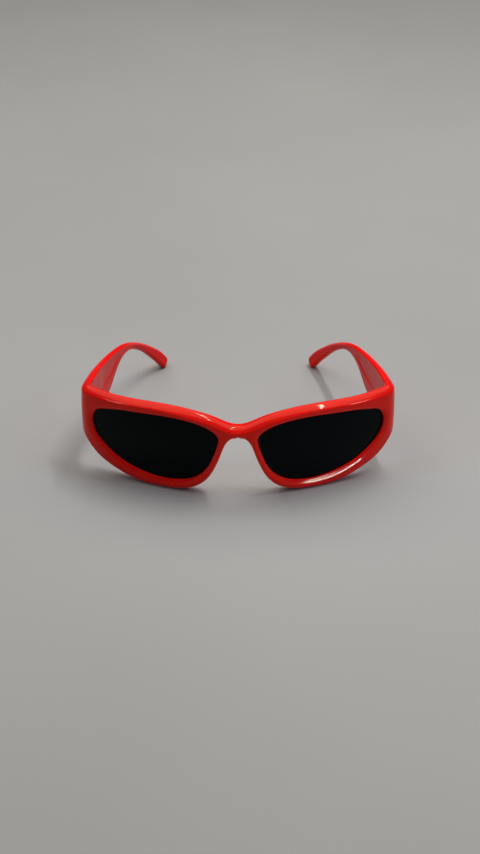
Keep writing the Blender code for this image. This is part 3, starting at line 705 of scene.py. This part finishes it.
def add_leaf(name, side, finish, leaf_length, direction, knuckles, screws):
    """A hinge leaf with its knuckles, bore and screw holes, and softened edges."""
    floor = LEAF_PROUD - LEAF_THICKNESS
    half = LEAF_HEIGHT / 2.0
    ends = sorted((direction * LEAF_END, direction * leaf_length))
    plate = box_bmesh((floor, ends[0], -half), (LEAF_PROUD, ends[1], half))
    leaf = add_mesh(name, in_hinge(plate, side), finish)
    pieces = []
    for low, high in knuckles:
        ends = sorted((direction * TAB_EASE, direction * (LEAF_END + TAB_OVERLAP)))
        pieces.append(box_bmesh((floor + TAB_EASE, ends[0], low + TAB_EASE),
                                (LEAF_PROUD - TAB_EASE, ends[1], high - TAB_EASE)))
        pieces.append(cylinder_bmesh(KNUCKLE_RADIUS, (HINGE_INSET, 0.0, low),
                                     (HINGE_INSET, 0.0, high), "z"))
    combine(leaf, [in_hinge(piece, side) for piece in pieces], "UNION")
    reach = LEAF_HEIGHT
    bores = [cylinder_bmesh(BORE_RADIUS, (HINGE_INSET, 0.0, -reach),
                            (HINGE_INSET, 0.0, reach), "z")]
    bores += [cylinder_bmesh(LEAF_HOLE, (-reach, back, up), (reach, back, up), "x")
              for back, up in screws]
    combine(leaf, [in_hinge(bore, side) for bore in bores], "DIFFERENCE")
    soften(leaf, LEAF_EDGE)
    return leaf


def soften(obj, width):
    """Round the sharp edges of a small metal piece."""
    bevel = obj.modifiers.new("edges", "BEVEL")
    bevel.limit_method = "ANGLE"
    bevel.angle_limit = radians(SHARP_ANGLE)
    bevel.width = width * MM
    bevel.segments = 3
    bevel.use_clamp_overlap = True
    settle(obj)


def pocket_tools(side, leaf_length, direction, screws):
    """Recess for a leaf in the plastic, with a blind hole for each screw."""
    floor = LEAF_PROUD - LEAF_THICKNESS - GAP
    half = LEAF_HEIGHT / 2.0 + GAP
    ends = sorted((-direction * POCKET_START, direction * (leaf_length + POCKET_CLEARANCE)))
    tools = [box_bmesh((floor, ends[0], -half), (floor + POCKET_REACH, ends[1], half)),
             box_bmesh((HINGE_INSET - HEAD_ROOM, -HEAD_ROOM, 0.0),
                       (floor + POCKET_REACH, HEAD_ROOM, half + HINGE_HEAD[1] + GAP))]
    tools += [cylinder_bmesh(LEAF_HOLE, (-LEAF_SCREW_DEPTH - GAP, back, up), (0.0, back, up), "x")
              for back, up in screws]
    return [in_hinge(tool, side) for tool in tools]


def turned_bmesh(profile, axis_place, axis):
    """A screw: a stack of rings, each (radius, distance along its axis)."""
    bm = bmesh.new()
    rings = []
    for radius, along in profile:
        ring = []
        for i in range(SCREW_SIDES):
            angle = 2.0 * pi * i / SCREW_SIDES
            a, b = radius * cos(angle), radius * sin(angle)
            offset = Vector((along, a, b)) if axis == "x" else Vector((a, b, along))
            ring.append(bm.verts.new((Vector(axis_place) + offset) * MM))
        rings.append(ring)
    skin(bm, rings, False, True)
    bm.faces.new(rings[0])
    bm.faces.new(rings[-1])
    return bm


def head_profile(shank, start, seat, radius, height):
    """Shank, seat and domed head of a screw."""
    rim = HEAD_RIM * height
    profile = [(shank, start), (shank, seat), (radius, seat), (radius, seat + rim)]
    for i in range(1, DOME_STEPS):
        turn = 0.5 * pi * i / DOME_STEPS
        reach = radius * (HEAD_FLAT + (1.0 - HEAD_FLAT) * cos(turn))
        profile.append((reach, seat + rim + (height - rim) * sin(turn)))
    return profile


def hinge_screw_object(name, side, finish):
    """The slotted screw that the knuckles turn on."""
    top = LEAF_HEIGHT / 2.0 + GAP
    radius, height = HINGE_HEAD
    profile = head_profile(HINGE_SHANK, -LEAF_HEIGHT / 2.0, top, radius, height)
    turned = turned_bmesh(profile, (HINGE_INSET, 0.0, 0.0), "z")
    screw = add_mesh(name, in_hinge(turned, side), finish)
    slot = box_bmesh((HINGE_INSET - 0.5 * SLOT_WIDTH, -2.0 * radius, top + height - SLOT_DEPTH),
                     (HINGE_INSET + 0.5 * SLOT_WIDTH, 2.0 * radius, top + 2.0 * height))
    return combine(screw, [in_hinge(slot, side)], "DIFFERENCE")


def leaf_screw_object(name, side, finish, back, up, turn):
    """A small screw with a slot that stands at its own angle."""
    seat = LEAF_PROUD
    radius, height = LEAF_HEAD
    profile = head_profile(LEAF_SHANK, -LEAF_SCREW_DEPTH, seat, radius, height)
    turned = turned_bmesh(profile, (0.0, back, up), "x")
    screw = add_mesh(name, in_hinge(turned, side), finish)
    slot = box_bmesh((seat + height - SLOT_DEPTH, -2.0 * radius, -0.5 * SLOT_WIDTH),
                     (seat + 2.0 * height, 2.0 * radius, 0.5 * SLOT_WIDTH))
    bmesh.ops.rotate(slot, verts=slot.verts, matrix=Matrix.Rotation(radians(turn), 3, "X"))
    bmesh.ops.translate(slot, verts=slot.verts, vec=Vector((0.0, back, up)) * MM)
    return combine(screw, [in_hinge(slot, side)], "DIFFERENCE")


# --- materials -------------------------------------------------------------------------
RED = ((0.69, 0.005, 0.004), (0.74, 0.008, 0.005))
# painted light: the temples are the same red plastic as the front, but this copy of the shell's
# red is lighter to stand in for more light falling on the temples
TEMPLE_RED_PAINTED_LIGHT = ((0.77, 0.005, 0.004), (0.82, 0.008, 0.006))
LENS_BLACK = ((0.0005, 0.0016, 0.0020), (0.0009, 0.0026, 0.0030))
STEEL = ((0.45, 0.45, 0.46), (0.62, 0.62, 0.63))
BADGE_BLACK = ((0.03, 0.03, 0.033), (0.05, 0.05, 0.055))
FLOOR_GREY = ((0.32, 0.32, 0.325), (0.355, 0.355, 0.357))
GLOSS_TINT = (1.0, 0.85, 0.60, 1.0)
PEEL_DEPTH = 0.02          # orange peel of the plastic, mm
TURNING_DEPTH = 0.01       # lines in the metal, mm


def new_material(name):
    """A material, its shader, a function that adds nodes and one that links to the shader."""
    made = bpy.data.materials.new(name)
    made.use_nodes = True
    tree = made.node_tree
    shader = tree.nodes["Principled BSDF"]

    def node(kind, **links):
        added = tree.nodes.new("ShaderNode" + kind)
        for socket, value in links.items():
            target = added.inputs[socket.replace("_", " ")]
            if isinstance(value, bpy.types.NodeSocket):
                tree.links.new(value, target)
            else:
                target.default_value = value
        return added

    def wire(**links):
        for socket, value in links.items():
            tree.links.new(value, shader.inputs[socket.replace("_", " ")])

    return made, shader, node, wire


def noise(node, place, scale, detail=2.0):
    return node("TexNoise", Vector=place, Scale=scale, Detail=detail).outputs["Fac"]


def ramp(node, fac, colours, start=0.3):
    """A blend of two colours, from the start position to as far from the other end."""
    made = node("ValToRGB", Fac=fac)
    for element, position, colour in zip(made.color_ramp.elements, (start, 1.0 - start), colours):
        element.position = position
        element.color = (*colour, 1.0)
    return made.outputs["Color"]


def to_range(node, fac, low, high):
    """Map a 0 to 1 value on to a range."""
    made = node("MapRange", Value=fac)
    made.inputs["To Min"].default_value = low
    made.inputs["To Max"].default_value = high
    return made.outputs["Result"]


def bumps(node, height, strength, depth):
    """A shader normal with small bumps, their depth in mm."""
    made = node("Bump", Strength=strength, Height=height)
    made.inputs["Distance"].default_value = depth * MM
    return made.outputs["Normal"]


def plastic(name, colours, roughness, specular):
    """Moulded gloss plastic: slight colour drift, handling marks and orange peel."""
    made, shader, node, wire = new_material(name)
    place = node("TexCoord").outputs["Object"]
    colour = ramp(node, noise(node, place, 45.0), colours)
    marks = noise(node, place, 700.0, 6.0)
    rough = to_range(node, marks, roughness * 0.7, roughness * 1.5)
    peel = bumps(node, noise(node, place, 260.0, 1.0), 0.15, PEEL_DEPTH)
    wire(Base_Color=colour, Roughness=rough, Normal=peel)
    shader.inputs["Specular IOR Level"].default_value = specular
    shader.inputs["Specular Tint"].default_value = GLOSS_TINT
    return made


def lens_material():
    """Near-black polished lens with faint wiping marks."""
    made, shader, node, wire = new_material("smoke_lens_polished")
    place = node("TexCoord").outputs["Object"]
    colour = ramp(node, noise(node, place, 30.0), LENS_BLACK)
    rough = to_range(node, noise(node, place, 120.0, 5.0), 0.02, 0.07)
    wire(Base_Color=colour, Roughness=rough)
    shader.inputs["Specular IOR Level"].default_value = 0.05
    return made


def metal_material(name, colours, roughness):
    """Satin metal with fine turning lines."""
    made, shader, node, wire = new_material(name)
    place = node("TexCoord").outputs["Object"]
    stretched = node("Mapping", Vector=place)
    stretched.inputs["Scale"].default_value = (1.0, 1.0, 12.0)
    lines = noise(node, stretched.outputs["Vector"], 900.0, 4.0)
    colour = ramp(node, lines, colours, start=0.25)
    rough = to_range(node, lines, roughness * 0.8, roughness * 1.3)
    wire(Base_Color=colour, Roughness=rough, Normal=bumps(node, lines, 0.15, TURNING_DEPTH))
    shader.inputs["Metallic"].default_value = 1.0
    return made


def floor_material():
    """Pale matt studio floor."""
    made, shader, node, wire = new_material("pale_floor")
    place = node("TexCoord").outputs["Object"]
    wire(Base_Color=ramp(node, noise(node, place, 3.0, 4.0), FLOOR_GREY))
    shader.inputs["Roughness"].default_value = 0.65
    shader.inputs["Specular IOR Level"].default_value = 0.2
    return made


# --- stage -----------------------------------------------------------------------------
# Lengths from here on are in metres.
CAMERA_DISTANCE = 0.620
CAMERA_ELEVATION = 34.0
CAMERA_AIM = Vector((0.0, -0.05038, 0.03309))
CAMERA_LENS = 101.37
CAMERA_SHIFT = 0.0042

FLOOR_FLAT = 1.5
FLOOR_RISE = 1.2
FLOOR_SIDES = 96
FLOOR_STEPS = 6
FLOOR_CURVE_STEPS = 16     # in a quarter turn of the raised rim

WARM = (1.0, 0.95, 0.86)
WHITE = (1.0, 1.0, 1.0)
COOL = (0.66, 0.78, 1.0)
UPRIGHT = (0.0, 0.0, 1.0)
GRID_SPREAD = radians(16.0)
GLINT_AIM = Vector((0.038, -0.052, 0.030))
LOW_LIGHT = GLINT_AIM + Vector((0.477, -0.763, 0.0))
LOW_LIGHT_WIDTH = 0.055
# (name, height above the floor, how tall, radiance) of the lights in front, one over the other
LOW_LIGHTS = (
    ("card", 0.085, 0.16, 18.0),
    ("glint_under", 0.02, 0.03, 190.0),
    ("glint_over", 0.175, 0.02, 190.0),
)
# (name, side, radiance) of the light beside each top corner
CORNER_LIGHTS = (("left", 1.0, 85.0), ("right", -1.0, 60.0))
SKY = (1.0, 0.99, 0.97, 1.0)
SKY_STRENGTH = 0.16


def add_camera():
    camera = bpy.data.cameras.new("camera")
    camera.sensor_width = 36.0
    camera.sensor_fit = "HORIZONTAL"
    camera.lens = CAMERA_LENS
    camera.shift_x = CAMERA_SHIFT
    camera.clip_start = 0.01
    holder = bpy.data.objects.new("camera", camera)
    elevation = radians(CAMERA_ELEVATION)
    offset = Vector((0.0, -cos(elevation), sin(elevation))) * CAMERA_DISTANCE
    holder.location = CAMERA_AIM + offset
    holder.rotation_euler = (0.5 * pi - elevation, 0.0, 0.0)
    bpy.context.scene.collection.objects.link(holder)
    bpy.context.scene.camera = holder


def add_floor():
    """A wide dish: flat in the middle, with a rim that curves up all round."""
    bm = bmesh.new()
    profile = [(FLOOR_FLAT * i / FLOOR_STEPS, 0.0) for i in range(1, FLOOR_STEPS + 1)]
    for i in range(1, FLOOR_CURVE_STEPS - 1):
        turn = 0.5 * pi * i / FLOOR_CURVE_STEPS
        profile.append((FLOOR_FLAT + FLOOR_RISE * sin(turn), FLOOR_RISE * (1.0 - cos(turn))))
    rings = []
    for radius, height in profile:
        ring = []
        for i in range(FLOOR_SIDES):
            angle = 2.0 * pi * i / FLOOR_SIDES
            ring.append(bm.verts.new((radius * cos(angle), radius * sin(angle), height)))
        rings.append(ring)
    skin(bm, rings, False, True)
    fan(bm, rings[0], Vector((0.0, 0.0, 0.0)))
    floor = add_mesh("studio_floor", bm, floor_material())
    floor.data.shade_smooth()


def add_area_light(name, place, aim, size, radiance, colour, spread=pi, long_axis=UPRIGHT):
    """A soft light that faces a point, with its second side along the long axis.

    A narrow spread, as from a grid, keeps its light off the floor round the object.
    """
    light = bpy.data.lights.new(name, "AREA")
    light.shape = "RECTANGLE"
    light.size, light.size_y = size
    light.color = colour
    light.spread = spread
    light.energy = radiance * pi * size[0] * size[1]
    if spread < pi:
        light.energy *= 1.0 - 0.5 * spread / tan(0.5 * spread)
    holder = bpy.data.objects.new(name, light)
    back = (Vector(place) - Vector(aim)).normalized()
    across = Vector(long_axis).cross(back).normalized()
    turn = Matrix((across, back.cross(across), back)).transposed().to_4x4()
    holder.matrix_world = Matrix.Translation(place) @ turn
    bpy.context.scene.collection.objects.link(holder)


def add_lights():
    """A large soft overhead light, and small brighter ones that draw the glints on the gloss."""
    add_area_light("overhead_softbox", (0.0, 0.30, 0.95), (0.0, -0.02, 0.03), (1.8, 1.2),
                   1.80, WARM)
    add_area_light("brow_strip", GLINT_AIM + Vector((0.26, 0.19, 0.93)), GLINT_AIM, (0.040, 0.60),
                   50.0, WHITE, long_axis=(0.21, -0.62, 0.075))
    for word, height, tall, radiance in LOW_LIGHTS:
        place = Vector((LOW_LIGHT.x, LOW_LIGHT.y, height))
        add_area_light("low_" + word, place, GLINT_AIM, (LOW_LIGHT_WIDTH, tall), radiance, COOL,
                       GRID_SPREAD)
    for word, side, radiance in CORNER_LIGHTS:
        corner = Vector((side * 0.060, -0.044, 0.044))
        place = corner + Vector((side * 0.73, -0.22, 0.65))
        add_area_light("corner_glint_" + word, place, corner, (0.04, 0.16), radiance, COOL,
                       GRID_SPREAD)
    world = bpy.data.worlds.new("studio")
    bpy.context.scene.world = world
    world.use_nodes = True
    background = world.node_tree.nodes["Background"]
    background.inputs["Color"].default_value = SKY
    background.inputs["Strength"].default_value = SKY_STRENGTH


# --- assembly --------------------------------------------------------------------------
def build_front(shell):
    front = add_mesh("front_frame_moulded", front_bmesh(), shell)
    tools = pocket_tools(1.0, FRAME_LEAF, -1.0, FRAME_SCREWS)
    tools += pocket_tools(-1.0, FRAME_LEAF, -1.0, FRAME_SCREWS)
    combine(front, tools, "DIFFERENCE")
    present(front, "front", "front_frame")


def build_side(word, side, arm_red_painted_light, lens, dark):
    """The lens, the temple and the badge of one side."""
    arm = word + "_temple"
    piece = add_mesh(f"lens_{word}_polished", on_side(lens_bmesh(), side), lens)
    present(settle(piece), "front", "lens_" + word)

    piece = add_mesh(f"temple_{word}_moulded", on_side(temple_bmesh(), side), arm_red_painted_light)
    combine(piece, pocket_tools(side, TEMPLE_LEAF, 1.0, TEMPLE_SCREWS), "DIFFERENCE")
    present(piece, arm, "temple_" + word)

    piece = add_mesh(f"badge_{word}_domed", on_side(badge_bmesh(), side), dark)
    present(settle(piece), arm, "badge_" + word)


def build_hinge(word, side, steel):
    """The two leaves of one hinge and their screws."""
    arm = word + "_temple"
    upper = (MIDDLE_KNUCKLE + GAP, LEAF_HEIGHT / 2.0)
    lower = (-LEAF_HEIGHT / 2.0, -MIDDLE_KNUCKLE - GAP)
    middle = (-MIDDLE_KNUCKLE, MIDDLE_KNUCKLE)
    piece = add_leaf(f"frame_leaf_{word}_pressed", side, steel, FRAME_LEAF, -1.0,
                     (lower, upper), FRAME_SCREWS)
    present(piece, "front", "frame_hinge_leaf_" + word)
    piece = add_leaf(f"temple_leaf_{word}_pressed", side, steel, TEMPLE_LEAF, 1.0,
                     (middle,), TEMPLE_SCREWS)
    present(piece, arm, "temple_hinge_leaf_" + word)

    piece = hinge_screw_object(f"hinge_screw_{word}_slotted", side, steel)
    present(piece, "front", "hinge_screw_" + word)
    for leaf, body, screws, slots in (("frame", "front", FRAME_SCREWS, FRAME_SLOTS),
                                      ("temple", arm, TEMPLE_SCREWS, TEMPLE_SLOTS)):
        for (back, up), (end, turn) in zip(screws, slots):
            node = f"{leaf}_leaf_screw_{word}_{end}"
            piece = leaf_screw_object(node + "_slotted", side, steel, back, up, turn)
            present(piece, body, node)


def main():
    shell = plastic("red_shell_gloss", RED, 0.06, 0.20)
    # the temples get a lighter copy of the shell's red, which is painted light on the temples and
    # not a colour of their own
    arm_red_painted_light = plastic("red_temple_gloss_painted_light", TEMPLE_RED_PAINTED_LIGHT, 0.08, 0.10)
    lens = lens_material()
    steel = metal_material("hinge_steel_satin", STEEL, 0.28)
    dark = metal_material("dark_badge_satin", BADGE_BLACK, 0.25)
    build_front(shell)
    for word, side in (("left", 1.0), ("right", -1.0)):
        build_side(word, side, arm_red_painted_light, lens, dark)
        build_hinge(word, side, steel)
    add_floor()
    add_lights()
    add_camera()
    bpy.context.scene.view_settings.view_transform = "Standard"


main()
